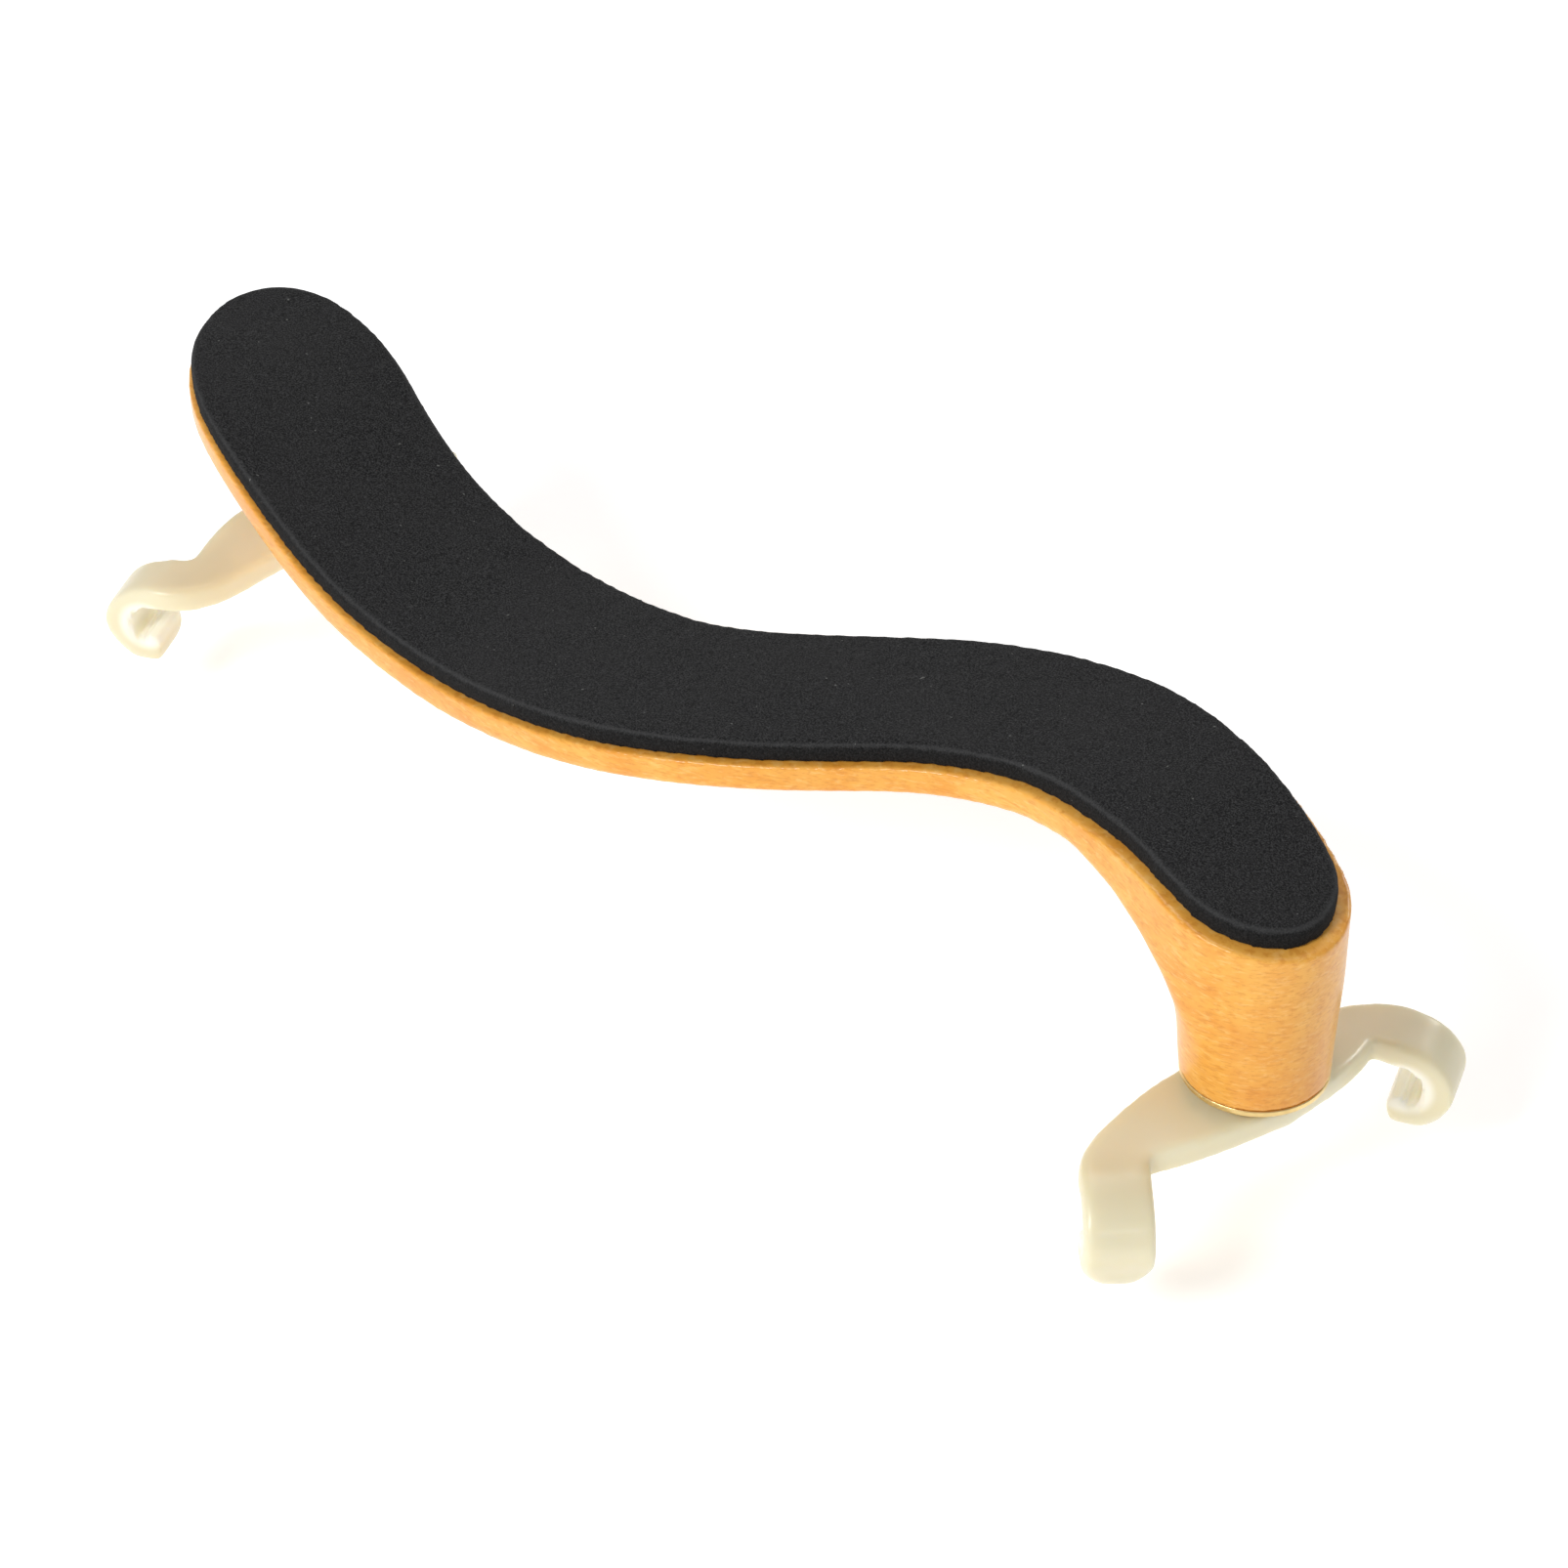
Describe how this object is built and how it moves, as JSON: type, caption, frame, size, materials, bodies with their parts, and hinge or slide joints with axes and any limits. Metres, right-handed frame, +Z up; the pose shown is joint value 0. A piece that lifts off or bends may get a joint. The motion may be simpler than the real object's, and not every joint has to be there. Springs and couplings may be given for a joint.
{
  "type": "violin shoulder rest",
  "caption": "S-curved maple bar with a black foam pad, standing on pale forks whose hooked claws screw in and out on brass studs.",
  "frame": {"origin": "middle of the footprint, on the plane under the four claws", "axes": "+X along the bar from the wing end to the column end, +Z up from the claws to the pad"},
  "size_m": [0.2364, 0.0781, 0.0521],
  "materials": {
    "maple": "amber varnish, glossy",
    "foam": "matte closed-cell foam skin",
    "brass": "turned and lightly worn",
    "brass_screw": "bright",
    "brass_stud": "threaded, bright",
    "moulded_polymer": "smooth moulded, slightly translucent"
  },
  "bodies": {
    "root": {"bar": "maple", "shoulder_pad": "foam", "column_plate": "brass", "column_plate_screws": "brass_screw", "wing_plate": "brass", "wing_plate_screws": "brass_screw"},
    "column_stud": {"column_stud": "brass_stud"},
    "column_fork": {"column_fork": "moulded_polymer"},
    "wing_stud": {"wing_stud": "brass_stud"},
    "wing_fork": {"wing_fork": "moulded_polymer"}
  },
  "joints": [
    {"name": "column_stud_travel", "type": "slide", "parent": "root", "child": "column_stud", "axis": [0, 0, -1], "range_m": [0, 0.0098]},
    {"name": "column_fork_turn", "type": "hinge", "parent": "column_stud", "child": "column_fork", "pos_m": [0.1012, -0.0034, 0], "axis": [0, 0, -1], "range_deg": [0, 4410.5]},
    {"name": "wing_stud_travel", "type": "slide", "parent": "root", "child": "wing_stud", "axis": [0, 0, -1], "range_m": [-0.0016, 0.0042]},
    {"name": "wing_fork_turn", "type": "hinge", "parent": "wing_stud", "child": "wing_fork", "pos_m": [-0.0978, 0.0034, 0], "axis": [0, 0, -1], "range_deg": [-720.5, 1890.5]}
  ],
  "couplings": [
    {"joint": "column_fork_turn", "follows": "column_stud_travel", "rad_per_m": 7854},
    {"joint": "wing_fork_turn", "follows": "wing_stud_travel", "rad_per_m": 7854}
  ]
}
